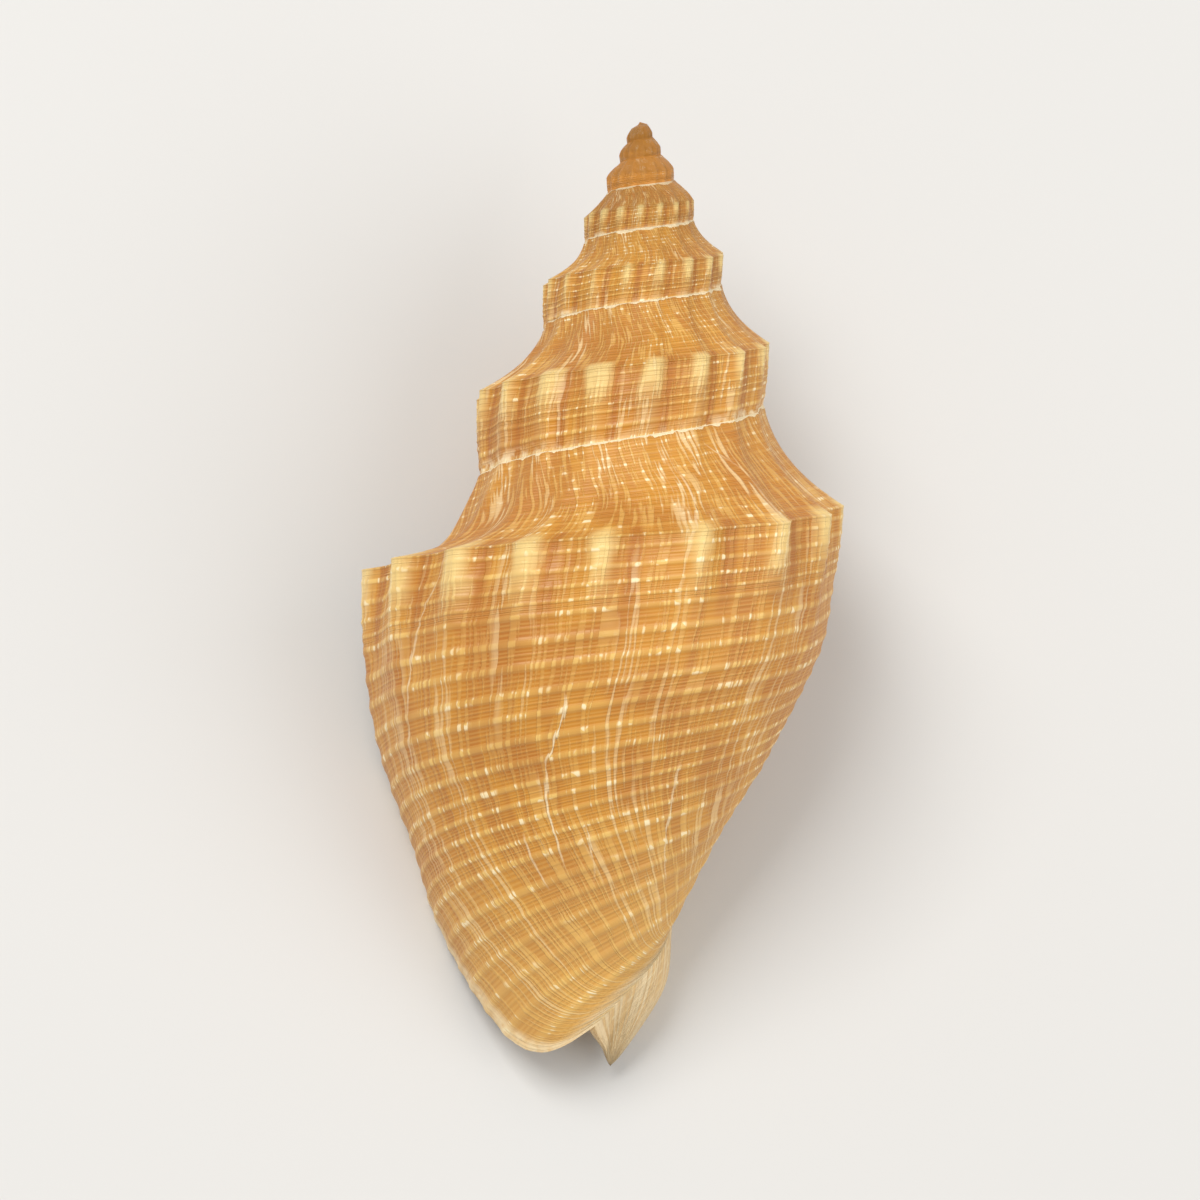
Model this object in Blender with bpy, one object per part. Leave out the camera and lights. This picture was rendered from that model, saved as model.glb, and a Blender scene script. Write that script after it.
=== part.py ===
"""A spired sea-snail shell, whole and empty, lying on its opening.

The wall is one surface wound about the coiling axis. A place on it has an azimuth, in degrees
along the winding, and a station from the suture down to the canal:
0 the suture, 1 the shoulder, 2 the line where the next turn is laid on, 3 the columella.
Azimuth 0 faces the viewer's side of the back, and the turns grow towards larger azimuths.
Shapes are worked out in millimetres, with the drop measured from the apex along the axis.
"""

import math

import bmesh
import bpy
import numpy as np
from mathutils import Matrix

NAME = "shell"
MM = 0.001

LENGTH = 42.0
SHOULDER_RADIUS = 11.3
SHOULDER_DROP = 21.0
RADIUS_GROWTH = 1.625
DROP_GROWTH = 1.69
TURNS = 6.8
LIP_AZIMUTH = 98.0

APEX_BLUNTNESS = 1.0
APEX_REACH = 0.53
APEX_LEAN = 0.5
APEX_LEAN_REACH = 5.3
APEX_LEAN_POWER = 1.5

# How far the next turn covers the flank, as a share of the shoulder radius.
SUTURE_DEPTH_SPIRE = 0.40
SUTURE_DEPTH_GAIN = 0.135
SUTURE_DEPTH_TURN = -1.8
SUTURE_DEPTH_RATE = 3.5

# The last turn sags a little halfway round, where its flank is fullest, and rises again to its lip,
# which flares, and swells in front.
SAG = 0.42
SAG_START = -1.0
SAG_GROWTH = 0.5
SIDE_SWELL = 0.034
SIDE_AZIMUTH = -90.0
SIDE_REACH = 60.0
SIDE_START = 0.35
SIDE_RISE = 0.4
SIDE_END = 1.6
SIDE_FALL = 0.35
LIP_FLARE = 0.02
FLARE_TURNS = 0.3
LIP_SWELL = 0.035
SWELL_AZIMUTHS = 90.0
SWELL_START = 0.95
SWELL_RISE = 0.35
SWELL_FALL = 0.2
# The ramp between suture and shoulder is hollow, most of all near the lip.
RAMP_START = 0.38
RAMP_POWER = 2.6
RAMP_POWER_AT_LIP = 7.5
RAMP_CHANGE_START = -36.0
RAMP_CHANGE_END = 90.0

# The flank below the shoulder: straight down, then a bend into the slope of the base.
FLANK_BEND = 0.62
FLANK_SOFTNESS = 0.25
BASE_SLOPE = 0.51
BASE_DEPTH = 2.085

# A growth line is one step ahead at the suture of the place where it crosses the turn's lower line.
STEPS = 68
STEP_DEGREES = 360.0 / STEPS
GROWTH_AT_LAP = 3.0
# How far each growth line runs ahead of its own shoulder, in degrees, from suture to columella.
GROWTH_LINE = (
    (0.00, GROWTH_AT_LAP + STEP_DEGREES), (0.33, 3.5), (0.67, -0.5), (1.00, 0.0), (1.50, 1.5),
    (2.00, GROWTH_AT_LAP), (2.20, 6.5), (2.35, 6.5), (2.48, 3.0), (2.64, -5.5), (2.77, -15.5),
    (2.85, -23.5), (2.93, -39.0), (2.97, -57.0), (3.00, -82.0),
)

RIBS_PER_TURN = 16.75
RIB_START = -65.0
RIB_CROWDING = 0.33
RIB_CROWDING_AZIMUTH = 5.0
RIB_CROWDING_REACH = 30.0
RIB_HEIGHT = 0.046
RIB_REACH = 0.45
RIB_REACH_SPIRE_GAIN = 0.6
RIB_REACH_TURN = -0.55
RIB_END = 1.6
RIB_END_FADE = 0.6
RIB_STEEP_SIDE = 0.17
RIB_GENTLE_SIDE = 0.30

PILLAR_SLOPE = 0.071
PILLAR_ROUNDING = 0.80
PILLAR_JOINT = 0.2
PILLAR_CLEARANCE = 0.3
PILLAR_CLEAR_FROM = 2.97
TIP_SLOPE = 0.66
TIP_ROUNDING = 0.90
FASCIOLE_FALL = 1.4
FASCIOLE_RISE = 1.0
FASCIOLE_FADE = 25.0
CANAL_AZIMUTH = 75.0
CANAL_REACH = 60.0
CANAL_DEPTH = 0.45
CANAL_START = 38.2
CANAL_RISE = 2.0
CANAL_FADE = 30.0
OWN_SIDE = 300.0

HOLLOW_TURNS = 2
WALL = 0.8
LIP_EDGE = 0.32
LIP_THINNING = 60.0
# How far along the stations the wall's slope is measured, and its ends are pulled into their joints.
SLOPE_STEP = 0.02
PULL_FROM_SUTURE = 0.45
PULL_FROM_BASE = 2.8

RAMP_STATIONS = (0.0, 0.3, 0.6, 0.82, 1.0, 1.3, 1.6, 2.0)
EDGE_ROWS = 2
EDGE_STATIONS = (2.03, 2.06)
BASE_STATIONS = (2.2, 2.35, 2.5, 2.64, 2.77, 2.86, 2.93, 2.965, 2.985, 3.0)
TIP_ROWS = 6
TRIANGLES = 9600
TIP_RING = 0.08
CAP_RISE = 0.12
WELD = 1e-7
SLIVER = 5e-6

ROLL = -7.783
PITCH = 14.845
FLAT_DEPTH = 0.15

COLOUR = (0.61, 0.33, 0.11)
ROUGHNESS = 0.45

STATIONS = np.array(RAMP_STATIONS + EDGE_STATIONS + BASE_STATIONS)
SUTURE = len(RAMP_STATIONS) - 1
LAST = len(STATIONS) - 1
LIP = round(TURNS * STEPS)
HOLLOW_END = LIP - HOLLOW_TURNS * STEPS
# With this many rows the two sides of the hollow's inner end have the same number of points.
INNER_PILLAR_ROWS = SUTURE + EDGE_ROWS - 1


def ease(value):
    """Goes from 0 to 1 with no corner at either end."""
    value = np.clip(value, 0.0, 1.0)
    return value * value * (3.0 - 2.0 * value)


def soft_ramp(value, softness):
    """Is 0 well below zero and equals the value well above it."""
    return (value + np.sqrt(value * value + softness * softness)) / 2.0


def soft_min(first, second, softness):
    return first - soft_ramp(first - second, softness)


def soft_max(first, second, softness):
    return second + soft_ramp(first - second, softness)


def through(points, place):
    """A smooth curve through the points that never swings past them."""
    x, y = np.array(points).T
    gap = np.diff(x)
    slope = np.diff(y) / gap
    tangent = np.zeros_like(y)
    same_way = slope[:-1] * slope[1:] > 0
    mean = np.where(same_way, slope[:-1] * slope[1:], 0.0) * 2.0
    tangent[1:-1] = mean / np.where(same_way, slope[:-1] + slope[1:], 1.0)
    tangent[0], tangent[-1] = slope[0], slope[-1]
    part = np.clip(np.searchsorted(x, place, side="right") - 1, 0, len(gap) - 1)
    u = (place - x[part]) / gap[part]
    ends = y[part] * (1 + 2 * u) * (1 - u) ** 2 + y[part + 1] * u * u * (3 - 2 * u)
    bends = tangent[part] * u * (1 - u) ** 2 - tangent[part + 1] * u * u * (1 - u)
    return ends + gap[part] * bends


def growth_lead(station):
    """Degrees by which the growth line runs ahead at this station."""
    return through(GROWTH_LINE, station)


def shoulder(azimuth):
    """Radius and drop of the shoulder."""
    turn = (azimuth - 90.0) / 360.0
    radius = SHOULDER_RADIUS * RADIUS_GROWTH ** turn * (1.0 + LIP_FLARE * ease(turn / FLARE_TURNS + 1.0))
    drop = SHOULDER_DROP * DROP_GROWTH ** turn
    sag = -SAG * np.cos(math.tau * turn) * ease((turn - SAG_START) / SAG_GROWTH)
    return radius, drop - APEX_BLUNTNESS * np.exp(-drop / APEX_REACH) + sag


def suture_depth(azimuth):
    turn = (azimuth - 90.0) / 360.0
    grown = 1.0 / (1.0 + np.exp(-SUTURE_DEPTH_RATE * (turn - SUTURE_DEPTH_TURN)))
    return SUTURE_DEPTH_SPIRE + SUTURE_DEPTH_GAIN * grown


def flank(azimuth, depth):
    """Radius as a share of the shoulder radius, at a depth below it in the same measure."""
    bend = soft_ramp(depth - FLANK_BEND, FLANK_SOFTNESS) - soft_ramp(-FLANK_BEND, FLANK_SOFTNESS)
    near_lip = LIP_SWELL * ease((azimuth - LIP_AZIMUTH) / SWELL_AZIMUTHS + 1.0)
    swell = near_lip * ease((depth - SWELL_START) / SWELL_RISE) * ease((BASE_DEPTH - depth) / SWELL_FALL)
    beside = SIDE_SWELL * np.exp(-((azimuth - SIDE_AZIMUTH) / SIDE_REACH) ** 2)
    full = beside * ease((depth - SIDE_START) / SIDE_RISE) * ease((SIDE_END - depth) / SIDE_FALL)
    return 1.0 - BASE_SLOPE * bend + swell + full


def rib(stage):
    """Height of the rib, 0 to 1, that the growth line of this stage lies on."""
    nearness = (stage - RIB_CROWDING_AZIMUTH) / RIB_CROWDING_REACH
    count = RIBS_PER_TURN * (stage - RIB_START) / 360.0 - RIB_CROWDING * np.exp(-nearness ** 2)
    offset = count - np.round(count)
    width = np.where(offset < 0, RIB_STEEP_SIDE, RIB_GENTLE_SIDE)
    return np.exp(-(offset / width) ** 2)


def rib_fade(azimuth, depth):
    """Ribs reach the suture on the spire and fade out below the shoulder of the last turn."""
    turn = (azimuth - 90.0) / 360.0
    reach = RIB_REACH + RIB_REACH_SPIRE_GAIN * ease(RIB_REACH_TURN - turn)
    return np.exp(-(depth / reach) ** 2) * ease((RIB_END - depth) / RIB_END_FADE)


def columella(drop):
    """Radius of the plain pillar, which tapers to the rounded tip of the canal."""
    left = np.maximum(LENGTH - drop, 0.0)
    return soft_min(PILLAR_SLOPE * drop, TIP_SLOPE * np.sqrt(left * (left + TIP_ROUNDING)), PILLAR_ROUNDING)


def side(azimuth, station, relief):
    """Radius and drop on the flank and the base, stations 1 to 3."""
    radius, drop = shoulder(azimuth)
    lap = suture_depth(azimuth)
    depth = np.where(station < 2.0, (station - 1.0) * lap, lap + (BASE_DEPTH - lap) * (station - 2.0))
    raised = rib(azimuth - growth_lead(station)) * rib_fade(azimuth, depth)
    out, down = radius * (flank(azimuth, depth) + relief * RIB_HEIGHT * raised), drop + depth * radius
    return soft_max(out, columella(down), PILLAR_JOINT), down


def wall(azimuth, station, relief=1.0):
    """Radius and drop of the outer surface."""
    azimuth, station = np.broadcast_arrays(azimuth, station)
    low_radius, low_drop = side(azimuth, np.maximum(station, 1.0), relief)
    laid_radius, laid_drop = side(azimuth - 360.0, np.full(station.shape, 2.0), relief)
    share = np.minimum(station, 1.0)
    change = ease((azimuth - RAMP_CHANGE_START) / (RAMP_CHANGE_END - RAMP_CHANGE_START))
    power = RAMP_POWER + (RAMP_POWER_AT_LIP - RAMP_POWER) * change
    hollow = RAMP_START * share + (1.0 - RAMP_START) * np.abs(share) ** power
    on_ramp = station < 1.0
    radius = np.where(on_ramp, laid_radius + (low_radius - laid_radius) * hollow, low_radius)
    drop = np.where(on_ramp, laid_drop + (low_drop - laid_drop) * share, low_drop)
    return radius, drop


def to_space(azimuth, radius, drop):
    """A point from its place about the axis, with the apex up along Y and the back towards Z."""
    angle = np.radians(azimuth)
    lean = APEX_LEAN * np.clip(1.0 - drop / APEX_LEAN_REACH, 0.0, 1.0) ** APEX_LEAN_POWER
    angle, radius, drop, lean = np.broadcast_arrays(angle, radius, drop, lean)
    return np.stack([-radius * np.sin(angle) - lean, -drop, radius * np.cos(angle)], axis=-1)


def stage_azimuth(index):
    return LIP_AZIMUTH + (index - LIP) * STEP_DEGREES


def outer(index, row, relief=1.0):
    azimuth = stage_azimuth(index) + growth_lead(STATIONS[row])
    return to_space(azimuth, *wall(azimuth, STATIONS[row], relief))


def base_end(azimuth):
    """Radius and drop where the base meets the pillar, and how far it stands out from it."""
    radius, drop = side(azimuth, np.full(np.shape(azimuth), 3.0), 0.0)
    return radius, drop, radius - columella(drop)


def pillar_azimuth(index):
    return stage_azimuth(index) + growth_lead(np.array(3.0))


def pillar_point(index, drop):
    """A point of the pillar under the turn of this stage, with the fasciole and the canal."""
    azimuth = pillar_azimuth(index)
    own_radius, own_drop, own_step = base_end(azimuth)
    below = own_step * ease(1.0 - (drop - own_drop) / FASCIOLE_FALL)
    next_end = np.minimum(azimuth + 360.0, pillar_azimuth(LIP))
    past_lip = azimuth + 360.0 - next_end
    next_radius, next_drop, next_step = base_end(next_end)
    above = ease(1.0 - (next_drop - drop) / FASCIOLE_RISE)
    under = ease(1.0 - (drop - next_drop) / FASCIOLE_FALL)
    ridge = next_step * np.where(drop < next_drop, above, under) * np.exp(-(past_lip / FASCIOLE_FADE) ** 2)
    hollow = np.exp(-((past_lip - CANAL_AZIMUTH) / CANAL_REACH) ** 2) * (past_lip > 0)
    hollow = hollow * CANAL_DEPTH * ease((drop - CANAL_START) / CANAL_RISE) * ease(past_lip / CANAL_FADE)
    stands = np.where(past_lip > OWN_SIDE, below, np.maximum(below, ridge))
    return to_space(azimuth, (columella(drop) + stands) * (1.0 - hollow), drop)


def add_sheet(mesh, points, kept=None):
    """Adds a grid with a vertex at each point, without the faces that are not kept."""
    columns, rows = points.shape[0] - 1, points.shape[1] - 1
    vertices = bmesh.ops.create_grid(mesh, x_segments=columns, y_segments=rows, size=1.0)["verts"]
    low_x = min(vertex.co.x for vertex in vertices)
    low_y = min(vertex.co.y for vertex in vertices)
    place = {}
    for vertex in vertices:
        column = round((vertex.co.x - low_x) / (-2.0 * low_x) * columns)
        row = round((vertex.co.y - low_y) / (-2.0 * low_y) * rows)
        place[vertex] = (column, row)
        vertex.co = points[column, row] * MM
    if kept is None:
        return
    faces = {face for vertex in vertices for face in vertex.link_faces}
    dropped = [face for face in faces if not kept[tuple(min(place[v] for v in face.verts))]]
    bmesh.ops.delete(mesh, geom=dropped, context="FACES")


def outer_sheet():
    """The outside of every turn, and the part of it that shows inside the opening."""
    points = outer(np.arange(LIP + 1)[:, None], np.arange(LAST + 1)[None, :])
    column, row = np.indices((LIP, LAST))
    seen = row < SUTURE
    edge = (row >= SUTURE) & (row < SUTURE + EDGE_ROWS) & (column > LIP - STEPS)
    base = (row >= SUTURE + EDGE_ROWS) & (column >= HOLLOW_END - STEPS)
    return points, seen | edge | base


def thickness(index):
    """Wall thickness inside, which grows with the turns."""
    return WALL * shoulder(stage_azimuth(index))[0] / SHOULDER_RADIUS


def pillar_drops(index):
    """Drops of the pillar's rows under each stage: the covered ones, the lip's own, and the tip's."""
    own = base_end(pillar_azimuth(index))[1]
    covered_index = np.minimum(index + STEPS, LIP)
    covered = base_end(pillar_azimuth(covered_index))[1]
    lip_drop = base_end(pillar_azimuth(LIP))[1]
    first = base_end(pillar_azimuth(LIP - STEPS))[1]
    inner = 1.0 - WALL / (lip_drop - first)
    covered_end = covered - thickness(covered_index)
    inner_end = np.where(index < LIP - STEPS, covered_end, own + inner * (lip_drop - own))
    share = np.arange(INNER_PILLAR_ROWS + 1) / INNER_PILLAR_ROWS
    deep = own[:, None] + (inner_end - own)[:, None] * share
    share = np.arange(1, EDGE_ROWS + 1) / EDGE_ROWS
    edge = inner_end[:, None] + (covered - inner_end)[:, None] * share
    share = np.sin(np.arange(1, TIP_ROWS + 1) / TIP_ROWS * math.pi / 2.0)
    tip = covered[:, None] + (LENGTH - TIP_RING - covered)[:, None] * share
    return np.concatenate([deep, edge, tip], axis=1)


def pillar_sheets():
    """The pillar inside the last turn, and the pillar that shows from the opening to the tip."""
    deep_index = np.arange(HOLLOW_END - STEPS, LIP - STEPS + 1)
    deep = pillar_drops(deep_index)[:, :INNER_PILLAR_ROWS + 1]
    seen_index = np.arange(LIP - STEPS, LIP + 1)
    seen = pillar_drops(seen_index)
    return pillar_point(deep_index[:, None], deep), pillar_point(seen_index[:, None], seen)


def inner_sheet(deep_pillar):
    """The inside of the last turn, from the end of the hollow to the lip."""
    index = np.arange(HOLLOW_END, LIP + 1)
    station = STATIONS[None, :]
    azimuth = stage_azimuth(index)[:, None] + growth_lead(station)
    radius, drop = wall(azimuth, station, 0.0)
    ahead_radius, ahead_drop = wall(azimuth, station + SLOPE_STEP, 0.0)
    behind_radius, behind_drop = wall(azimuth, station - SLOPE_STEP, 0.0)
    across, down = ahead_radius - behind_radius, ahead_drop - behind_drop
    size = np.hypot(across, down)
    thick = LIP_EDGE + (thickness(index) - LIP_EDGE) * ease((LIP - index) * STEP_DEGREES / LIP_THINNING)
    thick = thick[:, None]
    radius, drop = radius - thick * down / size, drop + thick * across / size
    clear = ease((3.0 - station) / (3.0 - PILLAR_CLEAR_FROM))
    radius = np.maximum(radius, columella(drop) + PILLAR_CLEARANCE * clear)
    pillar_side = deep_pillar[:, -1]
    radius = pull_ends(radius, radius[:, 0], np.hypot(pillar_side[:, 0], pillar_side[:, 2]))
    drop = pull_ends(drop, drop[:, 0], -pillar_side[:, 1])
    suture_side = outer(index - STEPS + 1, SUTURE + EDGE_ROWS)
    return pull_ends(to_space(azimuth, radius, drop), suture_side, pillar_side)


def pull_ends(points, first, last):
    """Moves the two ends of a sheet's lines onto what they join, and their surroundings with them."""
    near_first = 1.0 - ease(STATIONS / PULL_FROM_SUTURE)
    near_last = ease((STATIONS - PULL_FROM_BASE) / (3.0 - PULL_FROM_BASE))
    along = (1, -1) + (1,) * (points.ndim - 2)
    shift_first = (first - points[:, 0])[:, None] * near_first.reshape(along)
    shift_last = (last - points[:, -1])[:, None] * near_last.reshape(along)
    return points + shift_first + shift_last


def lip_sheet(inner, seen_pillar):
    """The rounded edge of the lip between the outer and the inner surface."""
    azimuth = stage_azimuth(LIP) + growth_lead(STATIONS)
    radius, drop = wall(azimuth, STATIONS)
    outside = to_space(azimuth, radius, drop)
    inside = inner[-1]
    forward = to_space(azimuth + 1.0, radius, drop) - outside
    forward /= np.linalg.norm(forward, axis=1)[:, None]
    half = np.linalg.norm(inside - outside, axis=1)[:, None] / 2.0
    rows = []
    for turn in np.linspace(0.0, math.pi, EDGE_ROWS + 1):
        middle = (outside + inside) / 2.0
        rows.append(middle + (outside - inside) / 2.0 * math.cos(turn) + forward * half * math.sin(turn))
    rows = np.stack(rows)
    first = outer(LIP - STEPS + 1, SUTURE + np.arange(EDGE_ROWS + 1))
    last = seen_pillar[0, INNER_PILLAR_ROWS + EDGE_ROWS - np.arange(EDGE_ROWS + 1)]
    return pull_ends(rows, first, last)


def inner_end_sheet(inner, deep_pillar):
    """The wall across the hollow where it ends, from the outer whorl's inside to the pillar's side."""
    rows = SUTURE + EDGE_ROWS + np.arange(LAST - SUTURE - EDGE_ROWS + 1)
    lap = outer(HOLLOW_END - STEPS + 1, SUTURE + EDGE_ROWS)
    older_turn = outer(HOLLOW_END - STEPS, rows)
    pillar_side = deep_pillar[0, 1:]
    far_side = np.concatenate([lap[None], older_turn, pillar_side])
    return np.stack([inner[0], far_side])


def close_ends(mesh):
    """Caps the apex and the canal's tip with low domes."""
    open_edges = [edge for edge in mesh.edges if edge.is_boundary]
    caps = bmesh.ops.holes_fill(mesh, edges=open_edges, sides=0)["faces"]
    bmesh.ops.recalc_face_normals(mesh, faces=mesh.faces)
    bmesh.ops.poke(mesh, faces=caps, offset=CAP_RISE * MM)
    bmesh.ops.triangulate(mesh, faces=mesh.faces)


def closed_mesh():
    """The whole shell, upright, as one closed surface."""
    mesh = bmesh.new()
    deep_pillar, seen_pillar = pillar_sheets()
    inner = inner_sheet(deep_pillar)
    add_sheet(mesh, *outer_sheet())
    add_sheet(mesh, deep_pillar)
    add_sheet(mesh, seen_pillar)
    add_sheet(mesh, inner)
    add_sheet(mesh, lip_sheet(inner, seen_pillar))
    add_sheet(mesh, inner_end_sheet(inner, deep_pillar))
    bmesh.ops.remove_doubles(mesh, verts=mesh.verts, dist=WELD)
    loose = [vertex for vertex in mesh.verts if not vertex.link_faces]
    bmesh.ops.delete(mesh, geom=loose, context="VERTS")
    close_ends(mesh)
    data = bpy.data.meshes.new(NAME)
    mesh.to_mesh(data)
    mesh.free()
    return data


def thin_out(shell):
    """Takes triangles away where the surface is smooth, down to the number aimed at."""
    bpy.context.view_layer.objects.active = shell
    modifier = shell.modifiers.new("Fewer triangles", "DECIMATE")
    modifier.ratio = TRIANGLES / len(shell.data.polygons)
    bpy.ops.object.modifier_apply(modifier=modifier.name)


def pose():
    """Turns the upright shell down onto its lip, its belly and the tip of its canal."""
    return Matrix.Rotation(math.radians(PITCH), 4, "X") @ Matrix.Rotation(math.radians(ROLL), 4, "Y")


def lay_down(shell):
    """Lays the shell on the ground, worn flat by a touch where it stands, with its middle at the origin."""
    mesh = bmesh.new()
    mesh.from_mesh(shell.data)
    mesh.transform(pose())
    places = np.array([vertex.co for vertex in mesh.verts])
    low, high = places.min(axis=0), places.max(axis=0)
    middle = (low + high) / 2.0
    mesh.transform(Matrix.Translation((-middle[0], -middle[1], -low[2] - FLAT_DEPTH * MM)))
    everything = mesh.verts[:] + mesh.edges[:] + mesh.faces[:]
    cut = bmesh.ops.bisect_plane(mesh, geom=everything, dist=WELD, plane_co=(0, 0, 0), plane_no=(0, 0, -1),
                                 clear_outer=True)
    rims = [item for item in cut["geom_cut"] if isinstance(item, bmesh.types.BMEdge)]
    bmesh.ops.holes_fill(mesh, edges=rims, sides=0)
    bmesh.ops.dissolve_degenerate(mesh, edges=mesh.edges, dist=SLIVER)
    bmesh.ops.triangulate(mesh, faces=mesh.faces)
    bmesh.ops.recalc_face_normals(mesh, faces=mesh.faces)
    mesh.to_mesh(shell.data)
    mesh.free()


def shell_matter():
    matter = bpy.data.materials.new("Shell")
    matter.use_nodes = True
    surface = matter.node_tree.nodes["Principled BSDF"]
    surface.inputs["Base Color"].default_value = (*COLOUR, 1.0)
    surface.inputs["Roughness"].default_value = ROUGHNESS
    surface.inputs["Metallic"].default_value = 0.0
    return matter


def main():
    for item in list(bpy.data.objects):
        bpy.data.objects.remove(item)
    collection = bpy.data.collections.new("Sea snail shell")
    bpy.context.scene.collection.children.link(collection)
    shell = bpy.data.objects.new(NAME, closed_mesh())
    collection.objects.link(shell)
    thin_out(shell)
    lay_down(shell)
    shell.data.materials.append(shell_matter())


main()
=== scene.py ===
import functools
import math

import bpy
import numpy as np
from mathutils import Matrix, Vector


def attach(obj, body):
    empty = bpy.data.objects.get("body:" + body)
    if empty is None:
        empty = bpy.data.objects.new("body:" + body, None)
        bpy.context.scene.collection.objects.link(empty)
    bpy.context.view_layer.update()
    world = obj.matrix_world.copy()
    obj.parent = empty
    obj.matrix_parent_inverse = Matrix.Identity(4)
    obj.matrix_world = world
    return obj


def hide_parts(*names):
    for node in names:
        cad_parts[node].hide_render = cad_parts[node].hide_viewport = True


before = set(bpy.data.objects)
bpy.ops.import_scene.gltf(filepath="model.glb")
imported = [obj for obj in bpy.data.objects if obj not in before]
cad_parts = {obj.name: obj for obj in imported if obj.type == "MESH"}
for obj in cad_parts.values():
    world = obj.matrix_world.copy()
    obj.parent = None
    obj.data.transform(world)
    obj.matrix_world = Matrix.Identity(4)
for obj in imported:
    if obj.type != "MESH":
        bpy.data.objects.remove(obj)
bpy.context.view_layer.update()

bl_info = {
    "name": "Ribbed sea snail shell",
    "version": (1, 0, 0),
    "blender": (4, 5, 0),
    "location": "View3D > Sidebar > Sea Snail Shell",
    "description": "Grows a spired, ribbed sea snail shell and sets it on a pale studio floor",
    "category": "Add Mesh",
}

# A place on the shell's wall has an azimuth, in degrees along the winding, and a station:
# 0 the suture, 1 the shoulder, 2 the line where the next turn is laid on, 3 the columella.
# Shapes are worked out in millimetres on the upright shell, with drops measured from the apex.

NODE = "shell"
MM = 0.001

LENGTH = 42.0
# The shoulder has this radius and drop at this azimuth, and a turn multiplies them by the growths.
SHOULDER_RADIUS = 11.3
SHOULDER_DROP = 21.0
SHOULDER_AZIMUTH = 90.0
RADIUS_GROWTH = 1.625
DROP_GROWTH = 1.69
TURNS = 6.8
LIP_AZIMUTH = 98.0

APEX_BLUNTNESS = 1.0
APEX_REACH = 0.53
APEX_LEAN = 0.5
APEX_LEAN_REACH = 5.3
APEX_LEAN_POWER = 1.5

SUTURE_DEPTH_SPIRE = 0.40
SUTURE_DEPTH_GAIN = 0.135
SUTURE_DEPTH_TURN = -1.8
SUTURE_DEPTH_RATE = 3.5

SAG = 0.42
SAG_START = -1.0
SAG_GROWTH = 0.5
SIDE_SWELL = 0.034
SIDE_AZIMUTH = -90.0
SIDE_REACH = 60.0
SIDE_START = 0.35
SIDE_RISE = 0.4
SIDE_END = 1.6
SIDE_FALL = 0.35
LIP_FLARE = 0.02
FLARE_TURNS = 0.3
LIP_SWELL = 0.035
SWELL_AZIMUTHS = 90.0
SWELL_START = 0.95
SWELL_RISE = 0.35
SWELL_FALL = 0.2
RAMP_START = 0.38
RAMP_START_YOUNG = 1.35
YOUNG_TURN = -2.5
RAMP_POWER = 2.6
RAMP_POWER_AT_LIP = 7.5
RAMP_CHANGE_START = -36.0
RAMP_CHANGE_END = 90.0

FLANK_BEND = 0.62
FLANK_SOFTNESS = 0.25
BASE_SLOPE = 0.51
BASE_DEPTH = 2.085

# A growth line is this many steps ahead at the suture of the place where it crosses the lap line.
LAP_STEPS = 4
COARSE_STEPS = 68
STEPS = COARSE_STEPS * LAP_STEPS
STEP_DEGREES = 360.0 / STEPS
GROWTH_AT_LAP = 3.0
GROWTH_LINE = (
    (0.00, GROWTH_AT_LAP + LAP_STEPS * STEP_DEGREES), (0.33, 3.5), (0.67, -0.5), (1.00, 0.0),
    (1.50, 1.5), (2.00, GROWTH_AT_LAP), (2.20, 6.5), (2.35, 6.5), (2.48, 3.0), (2.64, -5.5),
    (2.77, -15.5), (2.85, -23.5), (2.93, -39.0), (2.97, -57.0), (3.00, -82.0),
)

RIBS_PER_TURN = 16.75
RIB_START = -65.0
RIB_CROWDING = 0.33
RIB_CROWDING_AZIMUTH = 5.0
RIB_CROWDING_REACH = 30.0
RIB_HEIGHT = 0.046
RIB_REACH = 0.45
RIB_REACH_SPIRE_GAIN = 0.6
RIB_REACH_TURN = -0.55
RIB_END = 1.6
RIB_END_FADE = 0.6
RIB_STEEP_SIDE = 0.17
RIB_GENTLE_SIDE = 0.30
# Between the knobs the shoulder is cut back by this share of its radius, fading out at the lip.
KNOB_GAP = 0.03
KNOB_REACH = 0.15
KNOB_GAP_FADE = 30.0

PILLAR_SLOPE = 0.071
PILLAR_ROUNDING = 0.80
PILLAR_JOINT = 0.2
PILLAR_CLEARANCE = 0.3
PILLAR_CLEAR_FROM = 2.97
TIP_SLOPE = 0.66
TIP_ROUNDING = 0.90
FASCIOLE_FALL = 1.4
FASCIOLE_RISE = 1.0
FASCIOLE_FADE = 25.0
CANAL_AZIMUTH = 75.0
CANAL_REACH = 60.0
CANAL_DEPTH = 0.45
CANAL_START = 38.2
CANAL_RISE = 2.0
CANAL_FADE = 30.0
OWN_SIDE = 300.0
# From this azimuth on the pillar lies outside the opening and wears the outer layer.
OUTSIDE = -95.0

HOLLOW_TURNS = 2
LIP_EDGE = 0.32
LIP_THINNING = 60.0
# How far along the stations the wall's slope is measured, and its ends are pulled into their joints.
SLOPE_STEP = 0.02
PULL_FROM_SUTURE = 0.45
PULL_FROM_BASE = 2.8

RAMP_ROWS = 26
FLANK_ROWS = 32
EDGE_ROWS = 4
EDGE_END = 2.06
BASE_ROWS = 84
TIP_ROWS = 24
TRIANGLES = 190000
FINE_TURNS = 2.4
TIP_RING = 0.08
CAP_RISE = 0.12
WELD = 1e-7

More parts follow.
